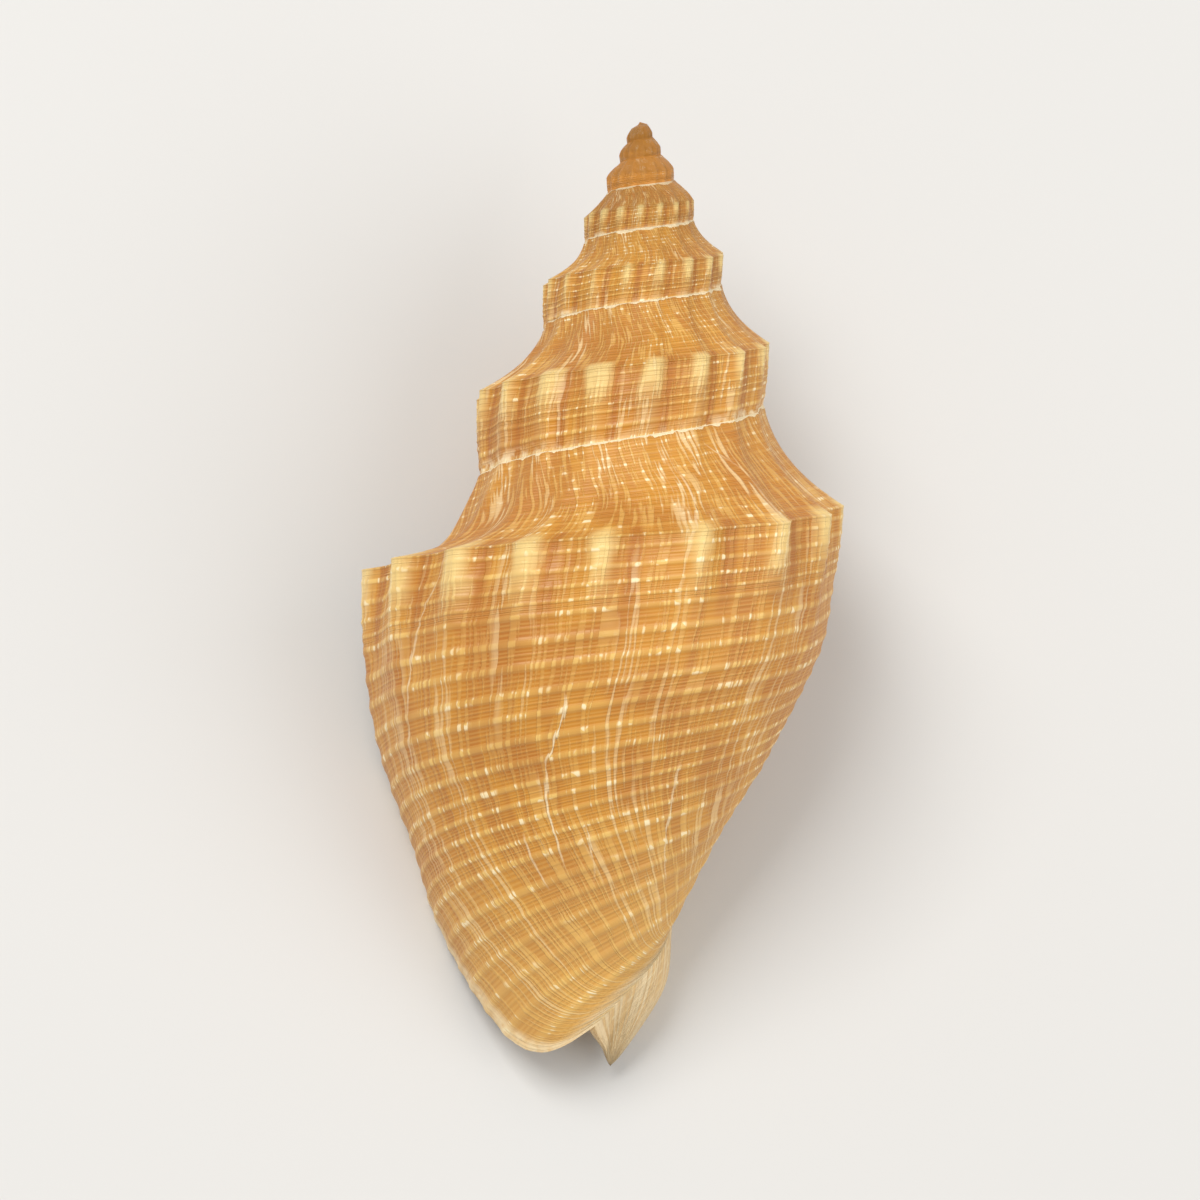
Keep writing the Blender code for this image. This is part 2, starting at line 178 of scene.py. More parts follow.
# Depths of the main spiral cords below the shoulder, in shoulder radii, the first one at 0.
CORD_DEPTHS = (
    0.0, 0.05, 0.13, 0.20, 0.26, 0.31, 0.42, 0.52, 0.63, 0.72, 0.82, 0.91, 1.00, 1.07, 1.14, 1.22,
    1.29, 1.41, 1.50, 1.59, 1.70, 1.82, 1.94, BASE_DEPTH,
)
RAMP_THREADS = 11.0
PILLAR_THREAD = 0.55
CORD_WIDTH = 0.24
WEAK_CORD_WIDTH = 0.13
WEAK_CORD_HEIGHT = 0.3
CORD_HEIGHT_AT_SHOULDER = 0.3
CORD_RISE_DEPTH = 0.3
CORD_END = 0.08
# The bead runs just below the suture, in stations, and its height waves with the azimuth.
BEAD_PLACE = 0.05
BEAD_WIDTH = 0.03
BEAD_START = 0.04
BEAD_WAVE = 0.3
BEAD_WAVE_RATES = (31.0, 12.7)
BEAD_OUT = 0.5
BEAD_UP = 0.87

# Growth scars of the last turn: how plain each is, and its places as depth and azimuth of growth.
SCARS = (
    (1.0, ((0.63, 12.0), (0.72, 11.0), (0.86, 13.5), (0.95, 16.5), (1.15, 18.0), (1.31, 20.0),
           (1.40, 22.0))),
    (0.7, ((1.03, -25.0), (1.15, -24.0), (1.29, -21.5), (1.47, -17.5), (1.65, -16.0))),
    (0.8, ((1.17, 28.5), (1.36, 30.5), (1.46, 31.0))),
    (0.8, ((1.20, 7.5), (1.35, 10.0), (1.50, 14.5))),
    (0.7, ((-0.33, -18.0), (-0.17, -18.0), (0.02, -15.5))),
    (0.6, ((-0.46, -34.0), (-0.25, -44.0), (0.02, -43.5))),
    (0.9, ((-0.05, 47.5), (0.10, 50.0), (0.19, 53.5), (0.28, 56.0), (0.40, 58.0), (0.53, 59.5),
           (0.85, 62.5))),
    (0.6, ((0.02, 65.0), (0.22, 66.0), (1.05, 66.5))),
    (0.6, ((0.02, 72.0), (0.22, 73.0), (0.90, 74.0))),
)
SCAR_SCALE = 0.18
SCAR_REACH = 0.6
SCAR_ENDS = 0.08
RAMP_RIB_START = 0.8
PILLAR_STATION_STEP = 0.01

ROLL = -7.783
PITCH = 14.845
SET_DOWN = (1.393, 20.2528, 11.8931)
SHARP_ANGLE = 50.0

PHOTO_PIXEL = 0.04454
PHOTO_MIDDLE = (600.0, 600.0)
PHOTO_APEX = (651.0, 123.0)
PHOTO_SIZE = 1200.0
PHOTO_TURN = 2.5
LENS = 250.0
SENSOR = 36.0
FLOOR_SIZE = 1.2
FLOOR_ROUGHNESS = 0.8
KEY_PLACE, KEY_SIZE = (-0.21, 0.17, 0.45), 0.28
FILL_PLACE, FILL_SIZE = (0.3, -0.1, 0.35), 0.4
ARAGONITE_IOR = 1.55

STATIONS = np.concatenate([
    np.arange(RAMP_ROWS) / RAMP_ROWS,
    1.0 + np.arange(FLANK_ROWS) / FLANK_ROWS,
    2.0 + (EDGE_END - 2.0) * np.arange(EDGE_ROWS) / EDGE_ROWS,
    EDGE_END + (3.0 - EDGE_END) * np.arange(BASE_ROWS + 1) / BASE_ROWS,
])
SUTURE = RAMP_ROWS + FLANK_ROWS
EDGE = SUTURE + EDGE_ROWS
LAST = len(STATIONS) - 1
LIP = round(TURNS * COARSE_STEPS) * LAP_STEPS
HOLLOW_END = LIP - HOLLOW_TURNS * STEPS
INNER_PILLAR_ROWS = EDGE - LAP_STEPS


def linear(colour):
    """An sRGB hex colour as linear red, green and blue."""
    parts = [int(colour[start:start + 2], 16) / 255.0 for start in (1, 3, 5)]
    return tuple(part / 12.92 if part <= 0.04045 else ((part + 0.055) / 1.055) ** 2.4 for part in parts)


class ShellSizes(bpy.types.PropertyGroup):
    wall: bpy.props.FloatProperty(
        name="Wall", description="Thickness of the last turn's wall", default=0.8 * MM, unit="LENGTH")
    cord: bpy.props.FloatProperty(
        name="Cords", description="Height of the main spiral cords", default=0.1 * MM, unit="LENGTH")
    suture_bead: bpy.props.FloatProperty(
        name="Suture", description="Height of the thin bead along the suture", default=0.1 * MM,
        unit="LENGTH")
    growth_lines: bpy.props.IntProperty(
        name="Growth lines", description="Fine growth lines in each turn", default=300, min=50, max=600)


class ShellColours(bpy.types.PropertyGroup):
    groove: bpy.props.FloatVectorProperty(
        name="Grooves", description="Colour between the cords", default=linear("#CC8722"), subtype="COLOR")
    # Also used for the painted shade in the groove beside each knob.
    deep: bpy.props.FloatVectorProperty(
        name="Deep", description="Darkest colour of the grooves", default=linear("#AE6315"),
        subtype="COLOR")
    cord: bpy.props.FloatVectorProperty(
        name="Cords", description="Colour of the cords", default=linear("#EDC06A"), subtype="COLOR")
    nodule: bpy.props.FloatVectorProperty(
        name="Nodules", description="Colour of the knobs", default=linear("#F5D58A"), subtype="COLOR")
    chalk: bpy.props.FloatVectorProperty(
        name="Chalk", description="Colour of sutures and scars", default=linear("#F9E2B6"), subtype="COLOR")
    # A painted highlight: the colour of the glints painted on some beads.
    glint: bpy.props.FloatVectorProperty(
        name="Beads", description="Colour of the polished beads", default=linear("#FFEBBE"),
        subtype="COLOR")
    apex: bpy.props.FloatVectorProperty(
        name="Apex", description="Colour of the first turns", default=linear("#E3983F"), subtype="COLOR")
    inside: bpy.props.FloatVectorProperty(
        name="Inside", description="Colour inside the opening", default=linear("#EFD2A0"), subtype="COLOR")


class StageLook(bpy.types.PropertyGroup):
    floor: bpy.props.FloatVectorProperty(
        name="Floor", description="Colour of the floor", default=linear("#D6D4D0"), subtype="COLOR")
    key_power: bpy.props.FloatProperty(
        name="Key light", description="Power of the large light", default=1.8, min=0.0, unit="POWER")
    fill_power: bpy.props.FloatProperty(
        name="Fill light", description="Power of the light facing it", default=0.8, min=0.0, unit="POWER")
    surround: bpy.props.FloatProperty(
        name="Surround", description="Strength of the light from all round", default=0.55, min=0.0)


def ease(value):
    """Goes from 0 to 1 with no corner at either end."""
    value = np.clip(value, 0.0, 1.0)
    return value * value * (3.0 - 2.0 * value)


def soft_ramp(value, softness):
    """Is 0 well below zero and equals the value well above it."""
    return (value + np.sqrt(value * value + softness * softness)) / 2.0


def soft_min(first, second, softness):
    return first - soft_ramp(first - second, softness)


def soft_max(first, second, softness):
    return second + soft_ramp(first - second, softness)


def bump(distance, width):
    return np.exp(-(distance / width) ** 2)


def through(points, place):
    """A smooth curve through the points that never swings past them."""
    x, y = np.array(points).T
    gap = np.diff(x)
    slope = np.diff(y) / gap
    tangent = np.zeros_like(y)
    same_way = slope[:-1] * slope[1:] > 0
    mean = np.where(same_way, slope[:-1] * slope[1:], 0.0) * 2.0
    tangent[1:-1] = mean / np.where(same_way, slope[:-1] + slope[1:], 1.0)
    tangent[0], tangent[-1] = slope[0], slope[-1]
    part = np.clip(np.searchsorted(x, place, side="right") - 1, 0, len(gap) - 1)
    u = (place - x[part]) / gap[part]
    ends = y[part] * (1 + 2 * u) * (1 - u) ** 2 + y[part + 1] * u * u * (3 - 2 * u)
    bends = tangent[part] * u * (1 - u) ** 2 - tangent[part + 1] * u * u * (1 - u)
    return ends + gap[part] * bends


def growth_lead(station):
    """Degrees by which the growth line runs ahead of its shoulder at this station."""
    return through(GROWTH_LINE, station)


def turn_of(azimuth):
    """Turns from the place where the shoulder's sizes are given, below zero on older turns."""
    return (azimuth - SHOULDER_AZIMUTH) / 360.0


def shoulder(azimuth):
    """Radius and drop of the shoulder."""
    turn = turn_of(azimuth)
    radius = SHOULDER_RADIUS * RADIUS_GROWTH ** turn * (1.0 + LIP_FLARE * ease(turn / FLARE_TURNS + 1.0))
    drop = SHOULDER_DROP * DROP_GROWTH ** turn
    sag = -SAG * np.cos(math.tau * turn) * ease((turn - SAG_START) / SAG_GROWTH)
    return radius, drop - APEX_BLUNTNESS * np.exp(-drop / APEX_REACH) + sag


def suture_depth(azimuth):
    grown = 1.0 / (1.0 + np.exp(-SUTURE_DEPTH_RATE * (turn_of(azimuth) - SUTURE_DEPTH_TURN)))
    return SUTURE_DEPTH_SPIRE + SUTURE_DEPTH_GAIN * grown


def flank(azimuth, depth):
    """Radius as a share of the shoulder radius, at a depth below it in the same measure."""
    bend = soft_ramp(depth - FLANK_BEND, FLANK_SOFTNESS) - soft_ramp(-FLANK_BEND, FLANK_SOFTNESS)
    near_lip = LIP_SWELL * ease((azimuth - LIP_AZIMUTH) / SWELL_AZIMUTHS + 1.0)
    swell = near_lip * ease((depth - SWELL_START) / SWELL_RISE) * ease((BASE_DEPTH - depth) / SWELL_FALL)
    beside = SIDE_SWELL * np.exp(-((azimuth - SIDE_AZIMUTH) / SIDE_REACH) ** 2)
    full = beside * ease((depth - SIDE_START) / SIDE_RISE) * ease((SIDE_END - depth) / SIDE_FALL)
    return 1.0 - BASE_SLOPE * bend + swell + full


def rib_count(stage):
    """Number of the rib that the growth line of this stage lies on, whole on its crest."""
    nearness = (stage - RIB_CROWDING_AZIMUTH) / RIB_CROWDING_REACH
    return RIBS_PER_TURN * (stage - RIB_START) / 360.0 - RIB_CROWDING * np.exp(-nearness ** 2)


def rib(stage):
    """Height of the rib there, 0 to 1."""
    offset = rib_count(stage) - np.round(rib_count(stage))
    width = np.where(offset < 0, RIB_STEEP_SIDE, RIB_GENTLE_SIDE)
    return np.exp(-(offset / width) ** 2)


def rib_fade(azimuth, depth):
    """Ribs reach the suture on the spire and fade out below the shoulder of the last turn."""
    reach = RIB_REACH + RIB_REACH_SPIRE_GAIN * ease(RIB_REACH_TURN - turn_of(azimuth))
    return np.exp(-(depth / reach) ** 2) * ease((RIB_END - depth) / RIB_END_FADE)


def cord_count(depth):
    """Number of the main cord at this depth, whole on its crest and half in the groove."""
    return through([(depth_of, number) for number, depth_of in enumerate(CORD_DEPTHS)], depth)


def cord_relief(count):
    """Height of the main cords and of the weaker ones between them, 0 to 1."""
    main = bump(count - np.round(count), CORD_WIDTH)
    between = bump(count - np.floor(count) - 0.5, WEAK_CORD_WIDTH)
    return main + WEAK_CORD_HEIGHT * between


def depth_below(azimuth, station):
    lap = suture_depth(azimuth)
    return np.where(station < 2.0, (station - 1.0) * lap, lap + (BASE_DEPTH - lap) * (station - 2.0))


def columella(drop):
    """Radius of the plain pillar, which tapers to the rounded tip of the canal."""
    left = np.maximum(LENGTH - drop, 0.0)
    tip = TIP_SLOPE * np.sqrt(left * (left + TIP_ROUNDING))
    return soft_min(PILLAR_SLOPE * drop, tip, PILLAR_ROUNDING)


def side(azimuth, station, relief, sizes):
    """Radius and drop on the flank and the base, stations 1 to 3."""
    radius, drop = shoulder(azimuth)
    depth = depth_below(azimuth, station)
    knob = rib(azimuth - growth_lead(station))
    raised = RIB_HEIGHT * knob * rib_fade(azimuth, depth)
    gap = KNOB_GAP * (1.0 - knob) * bump(depth, KNOB_REACH)
    raised = raised - gap * ease((LIP_AZIMUTH - azimuth) / KNOB_GAP_FADE)
    cords = sizes.cord / MM / SHOULDER_RADIUS * cord_relief(cord_count(depth))
    rise = CORD_HEIGHT_AT_SHOULDER + (1.0 - CORD_HEIGHT_AT_SHOULDER) * ease(depth / CORD_RISE_DEPTH)
    cords = cords * rise * ease((3.0 - station) / CORD_END)
    out, down = radius * (flank(azimuth, depth) + relief * (raised + cords)), drop + depth * radius
    return soft_max(out, columella(down), PILLAR_JOINT), down


def wall(azimuth, station, sizes, relief=1.0):
    """Radius and drop of the outer surface."""
    azimuth, station = np.broadcast_arrays(azimuth, station)
    low_radius, low_drop = side(azimuth, np.maximum(station, 1.0), relief, sizes)
    laid_radius, laid_drop = side(azimuth - 360.0, np.full(station.shape, 2.0), relief, sizes)
    share = np.minimum(station, 1.0)
    change = ease((azimuth - RAMP_CHANGE_START) / (RAMP_CHANGE_END - RAMP_CHANGE_START))
    power = RAMP_POWER + (RAMP_POWER_AT_LIP - RAMP_POWER) * change
    young = ease(YOUNG_TURN - turn_of(azimuth))
    start = RAMP_START + (RAMP_START_YOUNG - RAMP_START) * young
    hollow = start * share + (1.0 - start) * np.abs(share) ** power
    on_ramp = station < 1.0
    radius = np.where(on_ramp, laid_radius + (low_radius - laid_radius) * hollow, low_radius)
    drop = np.where(on_ramp, laid_drop + (low_drop - laid_drop) * share, low_drop)
    scale = shoulder(azimuth)[0] / SHOULDER_RADIUS
    quick, slow = (np.sin(np.radians(azimuth) * rate) for rate in BEAD_WAVE_RATES)
    wavy = 1.0 - BEAD_WAVE + BEAD_WAVE * quick * slow
    bead = sizes.suture_bead / MM * bump(share - BEAD_PLACE, BEAD_WIDTH) * ease(share / BEAD_START) * wavy
    rise = relief * scale * bead * on_ramp
    return radius + rise * BEAD_OUT, drop - rise * BEAD_UP


def to_space(azimuth, radius, drop):
    """A point from its place about the axis, with the apex up along Y and the back towards Z."""
    angle = np.radians(azimuth)
    lean = APEX_LEAN * np.clip(1.0 - drop / APEX_LEAN_REACH, 0.0, 1.0) ** APEX_LEAN_POWER
    angle, radius, drop, lean = np.broadcast_arrays(angle, radius, drop, lean)
    return np.stack([-radius * np.sin(angle) - lean, -drop, radius * np.cos(angle)], axis=-1)


def stage_azimuth(index):
    return LIP_AZIMUTH + (index - LIP) * STEP_DEGREES


def outer(index, row, sizes):
    azimuth = stage_azimuth(index) + growth_lead(STATIONS[row])
    return to_space(azimuth, *wall(azimuth, STATIONS[row], sizes))


def base_end(azimuth, sizes):
    """Drop where the base meets the pillar, and how far the base stands out from it there."""
    radius, drop = side(azimuth, np.full(np.shape(azimuth), 3.0), 0.0, sizes)
    return drop, radius - columella(drop)


def pillar_azimuth(index):
    return stage_azimuth(index) + growth_lead(np.array(3.0))


def pillar_point(index, drop, sizes):
    """A point of the pillar under the turn of this stage, with the fasciole and the canal."""
    azimuth = pillar_azimuth(index)
    own_drop, own_step = base_end(azimuth, sizes)
    below = own_step * ease(1.0 - (drop - own_drop) / FASCIOLE_FALL)
    next_end = np.minimum(azimuth + 360.0, pillar_azimuth(LIP))
    past_lip = azimuth + 360.0 - next_end
    next_drop, next_step = base_end(next_end, sizes)
    above = ease(1.0 - (next_drop - drop) / FASCIOLE_RISE)
    under = ease(1.0 - (drop - next_drop) / FASCIOLE_FALL)
    ridge = next_step * np.where(drop < next_drop, above, under)
    ridge = ridge * np.exp(-(past_lip / FASCIOLE_FADE) ** 2)
    hollow = np.exp(-((past_lip - CANAL_AZIMUTH) / CANAL_REACH) ** 2) * (past_lip > 0)
    hollow = hollow * CANAL_DEPTH * ease((drop - CANAL_START) / CANAL_RISE) * ease(past_lip / CANAL_FADE)
    stands = np.where(past_lip > OWN_SIDE, below, np.maximum(below, ridge))
    return to_space(azimuth, (columella(drop) + stands) * (1.0 - hollow), drop)


def thickness(index, sizes):
    """Wall thickness inside, which grows with the turns."""
    return sizes.wall / MM * shoulder(stage_azimuth(index))[0] / SHOULDER_RADIUS


def pillar_drops(index, sizes):
    """Drops of the pillar's rows under each stage: the covered ones, the lip's own, and the tip's."""
    own = base_end(pillar_azimuth(index), sizes)[0]
    covered_index = np.minimum(index + STEPS, LIP)
    covered = base_end(pillar_azimuth(covered_index), sizes)[0]
    lip_drop = base_end(pillar_azimuth(LIP), sizes)[0]
    first = base_end(pillar_azimuth(LIP - STEPS), sizes)[0]
    inner = 1.0 - sizes.wall / MM / (lip_drop - first)
    covered_end = covered - thickness(covered_index, sizes)
    inner_end = np.where(index < LIP - STEPS, covered_end, own + inner * (lip_drop - own))
    share = np.arange(INNER_PILLAR_ROWS + 1) / INNER_PILLAR_ROWS
    deep = own[:, None] + (inner_end - own)[:, None] * share
    share = np.arange(1, EDGE_ROWS + 1) / EDGE_ROWS
    edge = inner_end[:, None] + (covered - inner_end)[:, None] * share
    share = np.sin(np.arange(1, TIP_ROWS + 1) / TIP_ROWS * math.pi / 2.0)
    tip = covered[:, None] + (LENGTH - TIP_RING - covered)[:, None] * share
    return np.concatenate([deep, edge, tip], axis=1)


def inner_points(deep_pillar, sizes):
    """The inside of the last turns, from the end of the hollow to the lip."""
    index = np.arange(HOLLOW_END, LIP + 1)
    station = STATIONS[None, :]
    azimuth = stage_azimuth(index)[:, None] + growth_lead(station)
    radius, drop = wall(azimuth, station, sizes, 0.0)
    ahead_radius, ahead_drop = wall(azimuth, station + SLOPE_STEP, sizes, 0.0)
    behind_radius, behind_drop = wall(azimuth, station - SLOPE_STEP, sizes, 0.0)
    across, down = ahead_radius - behind_radius, ahead_drop - behind_drop
    size = np.hypot(across, down)
    thinning = ease((LIP - index) * STEP_DEGREES / LIP_THINNING)
    thick = (LIP_EDGE + (thickness(index, sizes) - LIP_EDGE) * thinning)[:, None]
    radius, drop = radius - thick * down / size, drop + thick * across / size
    clear = ease((3.0 - station) / (3.0 - PILLAR_CLEAR_FROM))
    radius = np.maximum(radius, columella(drop) + PILLAR_CLEARANCE * clear)
    pillar_side = deep_pillar[:, -1]
    radius = pull_ends(radius, radius[:, 0], np.hypot(pillar_side[:, 0], pillar_side[:, 2]))
    drop = pull_ends(drop, drop[:, 0], -pillar_side[:, 1])
    suture_side = outer(index - STEPS + LAP_STEPS, EDGE, sizes)
    return pull_ends(to_space(azimuth, radius, drop), suture_side, pillar_side)


def pull_ends(points, first, last):
    """Moves the two ends of a sheet's lines onto what they join, and their surroundings with them."""
    near_first = 1.0 - ease(STATIONS / PULL_FROM_SUTURE)
    near_last = ease((STATIONS - PULL_FROM_BASE) / (3.0 - PULL_FROM_BASE))
    along = (1, -1) + (1,) * (points.ndim - 2)
    shift_first = (first - points[:, 0])[:, None] * near_first.reshape(along)
    shift_last = (last - points[:, -1])[:, None] * near_last.reshape(along)
    return points + shift_first + shift_last


def lip_points(inner, seen_pillar, sizes):
    """The rounded edge of the lip between the outer and the inner surface."""
    azimuth = stage_azimuth(LIP) + growth_lead(STATIONS)
    radius, drop = wall(azimuth, STATIONS, sizes)
    outside = to_space(azimuth, radius, drop)
    inside = inner[-1]
    forward = to_space(azimuth + 1.0, radius, drop) - outside
    forward /= np.linalg.norm(forward, axis=1)[:, None]
    half = np.linalg.norm(inside - outside, axis=1)[:, None] / 2.0
    middle = (outside + inside) / 2.0
    turns = np.linspace(0.0, math.pi, EDGE_ROWS + 1)
    rows = [middle + (outside - inside) / 2.0 * math.cos(turn) + forward * half * math.sin(turn)
            for turn in turns]
    first = outer(LIP - STEPS + LAP_STEPS, SUTURE + np.arange(EDGE_ROWS + 1), sizes)
    last = seen_pillar[0, INNER_PILLAR_ROWS + EDGE_ROWS - np.arange(EDGE_ROWS + 1)]
    return pull_ends(np.stack(rows), first, last)


def hollow_end_points(inner, deep_pillar, sizes):
    """The wall across the hollow where it ends, from the outer whorl's inside to the pillar's side."""
    lap = outer(HOLLOW_END - STEPS + np.arange(LAP_STEPS, 0, -1), EDGE, sizes)
    older_turn = outer(HOLLOW_END - STEPS, np.arange(EDGE, LAST + 1), sizes)
    return np.stack([inner[0], np.concatenate([lap, older_turn, deep_pillar[0, 1:]])])


def add_sheet(points, maps, slot, spare):
    """A grid with a vertex at each point, its pattern maps, its material and its spare vertices."""
    columns, rows = points.shape[0] - 1, points.shape[1] - 1
    bpy.ops.object.select_all(action="DESELECT")
    bpy.ops.mesh.primitive_grid_add(x_subdivisions=columns, y_subdivisions=rows, size=2.0, calc_uvs=False)
    sheet = bpy.context.object
    mesh = sheet.data
    start = np.empty(len(mesh.vertices) * 3)
    mesh.vertices.foreach_get("co", start)
    x, y = start.reshape(-1, 3)[:, :2].T
    column = np.rint((x + 1.0) / 2.0 * columns).astype(int)
    row = np.rint((y + 1.0) / 2.0 * rows).astype(int)
    mesh.vertices.foreach_set("co", (points[column, row] * MM).ravel())
    corner = np.empty(len(mesh.loops), dtype=int)
    mesh.loops.foreach_get("vertex_index", corner)
    for name, values in maps.items():
        first, second = (np.broadcast_to(part, points.shape[:2]) for part in values)
        places = np.stack([first, second], axis=-1)[column, row][corner]
        mesh.uv_layers.new(name=name).data.foreach_set("uv", places.ravel())
    mesh.polygons.foreach_set("material_index", np.full(len(mesh.polygons), slot))
    spared = np.flatnonzero(np.broadcast_to(spare, points.shape[:2])[column, row])
    sheet.vertex_groups.new(name="spare").add(spared.tolist(), 1.0, "REPLACE")
    return sheet


def nearest_scar(stage, depth):
    """Millimetres ahead of the nearest growth scar, and how plain it is here, 0 to 1."""
    stage, depth = np.broadcast_arrays(stage, depth)
    ahead, plain = np.full(stage.shape, SCAR_REACH), np.zeros(stage.shape)
    for strength, places in SCARS:
        top, end = places[0][0], places[-1][0]
        distance = (stage - through(places, np.clip(depth, top, end))) * SCAR_SCALE
        here = strength * ease((depth - top) / SCAR_ENDS) * ease((end - depth) / SCAR_ENDS)
        here = here * ease(2.0 - np.abs(distance) / SCAR_REACH)
        ahead, plain = np.where(here > plain, distance, ahead), np.maximum(here, plain)
    return ahead, plain


def wall_maps(index, row):
    """Pattern maps of the wall: its growth, its cords, its ribs and its scars."""
    station = STATIONS[row][None, :]
    stage = stage_azimuth(index)[:, None]
    azimuth = stage + growth_lead(station)
    depth = depth_below(azimuth, station)
    count = np.where(station < 1.0, RAMP_THREADS * (station - 1.0), cord_count(np.maximum(depth, 0.0)))
    on_ramp = ease((station - RAMP_RIB_START) / (1.0 - RAMP_RIB_START))
    reach = np.where(station < 1.0, on_ramp, rib_fade(azimuth, depth))
    return {"growth": (stage / 360.0, station), "cords": (count, depth),
            "ribs": (rib_count(stage), reach), "scars": nearest_scar(stage, depth)}


def pillar_maps(index, drops, sizes):
    """The same for the pillar, whose threads go on from the base's cords."""
    own_drop = base_end(pillar_azimuth(index), sizes)[0]
    below = (drops - own_drop[:, None]) / PILLAR_THREAD
    stage = stage_azimuth(index)[:, None]
    return {"growth": (stage / 360.0, 3.0 + PILLAR_STATION_STEP * below),
            "cords": (len(CORD_DEPTHS) - 1 + below, BASE_DEPTH),
            "ribs": (rib_count(stage), 0.0), "scars": (SCAR_REACH, 0.0)}


def grow_sheets(sizes):
    """All sheets of the upright shell."""
    deep_index = np.arange(HOLLOW_END - STEPS, LIP - STEPS + 1)
    deep_drops = pillar_drops(deep_index, sizes)[:, :INNER_PILLAR_ROWS + 1]
    deep = pillar_point(deep_index[:, None], deep_drops, sizes)
    seen_index = np.arange(LIP - STEPS, LIP + 1)
    seen_drops = pillar_drops(seen_index, sizes)
    seen = pillar_point(seen_index[:, None], seen_drops, sizes)
    inner = inner_points(deep, sizes)
    fine_start = LIP - round(FINE_TURNS * STEPS)
    sheets = []
    for first, top, bottom, fine in ((0, 0, SUTURE, fine_start),
                                     (LIP - STEPS + LAP_STEPS, SUTURE, EDGE, 0),
                                     (HOLLOW_END - STEPS, EDGE, LAST, LIP - STEPS)):
        index, row = np.arange(first, LIP + 1), np.arange(top, bottom + 1)
        points = outer(index[:, None], row[None, :], sizes)
        sheets.append(add_sheet(points, wall_maps(index, row), 0, (index < fine)[:, None]))
    sheets.append(add_sheet(deep, pillar_maps(deep_index, deep_drops, sizes), 1, True))
    covered = INNER_PILLAR_ROWS + EDGE_ROWS
    outside = int(np.searchsorted(pillar_azimuth(seen_index), OUTSIDE))
    for part, rows, slot in ((slice(0, outside + 1), slice(0, covered + 1), 1),
                             (slice(outside, None), slice(0, covered + 1), 0),
                             (slice(None), slice(covered, None), 0)):
        maps = pillar_maps(seen_index[part], seen_drops[part, rows], sizes)
        sheets.append(add_sheet(seen[part, rows], maps, slot, slot == 1))
    inner_index = np.arange(HOLLOW_END, LIP + 1)
    sheets.append(add_sheet(inner, wall_maps(inner_index, np.arange(LAST + 1)), 1, True))
    rim = lip_points(inner, seen, sizes)
    sheets.append(add_sheet(rim, wall_maps(np.full(EDGE_ROWS + 1, LIP), np.arange(LAST + 1)), 0, False))
    end = hollow_end_points(inner, deep, sizes)
    sheets.append(add_sheet(end, wall_maps(np.full(2, HOLLOW_END), np.arange(LAST + 1)), 1, True))
    return sheets


def join_sheets(sheets):
    """Welds the sheets into one closed surface, capped at the apex and the tip."""
    bpy.ops.object.select_all(action="DESELECT")
    for sheet in sheets:
        sheet.select_set(True)
    bpy.context.view_layer.objects.active = sheets[0]
    bpy.ops.object.join()
    shell = bpy.context.object
    bpy.ops.object.mode_set(mode="EDIT")
    bpy.ops.mesh.select_all(action="SELECT")
    bpy.ops.mesh.remove_doubles(threshold=WELD)
    bpy.ops.mesh.delete_loose()
    bpy.ops.mesh.select_all(action="SELECT")
    bpy.ops.mesh.fill_holes(sides=0)
    bpy.ops.mesh.normals_make_consistent(inside=False)
    bpy.ops.mesh.select_all(action="DESELECT")
    bpy.ops.mesh.select_face_by_sides(number=4, type="GREATER")
    bpy.ops.mesh.poke(offset=CAP_RISE * MM)
    bpy.ops.mesh.select_all(action="SELECT")
    bpy.ops.mesh.quads_convert_to_tris()
    bpy.ops.object.mode_set(mode="OBJECT")
    return shell


def thin_out(shell):
    """Takes triangles away inside the shell and on its smallest turns."""
    modifier = shell.modifiers.new("Fewer triangles", "DECIMATE")
    modifier.ratio = TRIANGLES / len(shell.data.polygons)
    modifier.vertex_group = "spare"
    bpy.ops.object.modifier_apply(modifier=modifier.name)
    shell.vertex_groups.clear()


def laid():
    """How the upright shell is turned and set down to lie on its opening."""
    turned = Matrix.Rotation(math.radians(PITCH), 4, "X") @ Matrix.Rotation(math.radians(ROLL), 4, "Y")
    return Matrix.Translation(Vector(SET_DOWN) * MM) @ turned


def lay_down(shell):
    """Lays the shell on its opening, worn flat by a touch where it stands on the floor."""
    shell.data.transform(laid())
    bpy.ops.object.mode_set(mode="EDIT")
    bpy.ops.mesh.select_all(action="SELECT")
    bpy.ops.mesh.bisect(plane_co=(0, 0, 0), plane_no=(0, 0, -1), use_fill=True, clear_outer=True,
                        threshold=WELD)
    bpy.ops.mesh.select_all(action="SELECT")
    bpy.ops.mesh.quads_convert_to_tris()
    bpy.ops.object.mode_set(mode="OBJECT")
    bpy.ops.object.shade_smooth_by_angle(angle=math.radians(SHARP_ANGLE))


def add(tree, kind, inputs=(), output=0, **settings):
    """Adds a shader node with its settings and its inputs, each a value or another node's output."""
    made = tree.nodes.new("ShaderNode" + kind)
    for name, value in settings.items():
        setattr(made, name, value)
    for place, value in inputs.items() if isinstance(inputs, dict) else enumerate(inputs):
        if isinstance(value, bpy.types.NodeSocket):
            tree.links.new(value, made.inputs[place])
        else:
            made.inputs[place].default_value = value
    return made.outputs[output]


def new_material(name):
    """A material with only its surface shader, whose tree is ready for a pattern."""
    material = bpy.data.materials.new(name)
    material.use_nodes = True
    tree = material.node_tree
    return material, tree, tree.nodes["Principled BSDF"]


